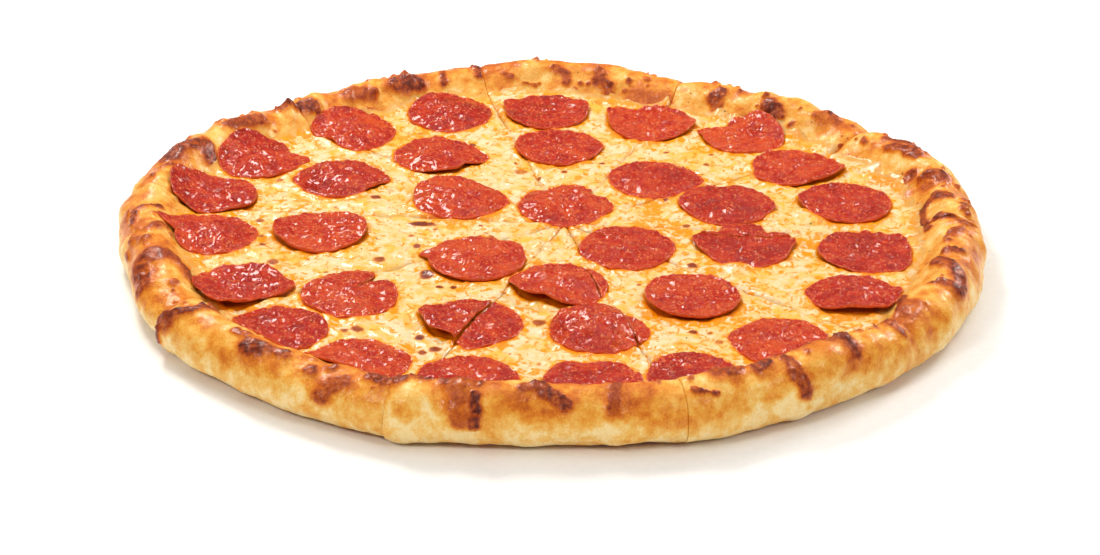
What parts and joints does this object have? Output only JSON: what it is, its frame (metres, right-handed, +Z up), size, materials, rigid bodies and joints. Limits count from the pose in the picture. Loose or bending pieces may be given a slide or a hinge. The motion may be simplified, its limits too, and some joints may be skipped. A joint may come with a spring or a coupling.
{
  "type": "pepperoni pizza",
  "caption": "Round baked pizza with a raised golden rim, melted cheese and curled pepperoni, cut into wedge slices that still lie together.",
  "frame": {"origin": "centre of the pizza's outline, on the surface it lies on", "axes": "+Z up, +X to the right and +Y away in the picture's view, with +X along the longest extent"},
  "size_m": [0.3692, 0.3464, 0.024],
  "materials": {
    "crust": "baked wheat dough, golden tan with toasted blisters, buttery sheen on top",
    "cheese": "melted mozzarella, cream with orange oil flecks, moist",
    "pepperoni": "baked cured sausage, red with pale fat flecks, glossy with oil"
  },
  "bodies": {
    "root": {"crust_slice_01": "crust", "crust_slice_02": "crust", "crust_slice_03": "crust", "crust_slice_04": "crust", "crust_slice_05": "crust", "crust_slice_06": "crust", "crust_slice_07": "crust", "crust_slice_08": "crust", "crust_slice_09": "crust", "crust_slice_10": "crust", "cheese_slice_01": "cheese", "cheese_slice_02": "cheese", "cheese_slice_03": "cheese", "cheese_slice_04": "cheese", "cheese_slice_05": "cheese", "cheese_slice_06": "cheese", "cheese_slice_07": "cheese", "cheese_slice_08": "cheese", "cheese_slice_09": "cheese", "cheese_slice_10": "cheese", "pepperoni_01": "pepperoni", "pepperoni_02": "pepperoni", "pepperoni_03": "pepperoni", "pepperoni_04": "pepperoni", "pepperoni_05": "pepperoni", "pepperoni_06": "pepperoni", "pepperoni_07": "pepperoni", "pepperoni_08": "pepperoni", "pepperoni_09": "pepperoni", "pepperoni_10": "pepperoni", "pepperoni_11": "pepperoni", "pepperoni_12": "pepperoni", "pepperoni_13": "pepperoni", "pepperoni_14": "pepperoni", "pepperoni_15": "pepperoni", "pepperoni_16": "pepperoni", "pepperoni_17": "pepperoni", "pepperoni_18": "pepperoni", "pepperoni_19": "pepperoni", "pepperoni_20": "pepperoni", "pepperoni_21": "pepperoni", "pepperoni_22": "pepperoni", "pepperoni_23": "pepperoni", "pepperoni_24": "pepperoni", "pepperoni_25": "pepperoni", "pepperoni_26": "pepperoni", "pepperoni_27": "pepperoni", "pepperoni_28": "pepperoni", "pepperoni_29": "pepperoni", "pepperoni_30": "pepperoni", "pepperoni_31": "pepperoni", "pepperoni_32": "pepperoni", "pepperoni_33": "pepperoni", "pepperoni_34": "pepperoni", "pepperoni_35": "pepperoni"}
  },
  "joints": []
}
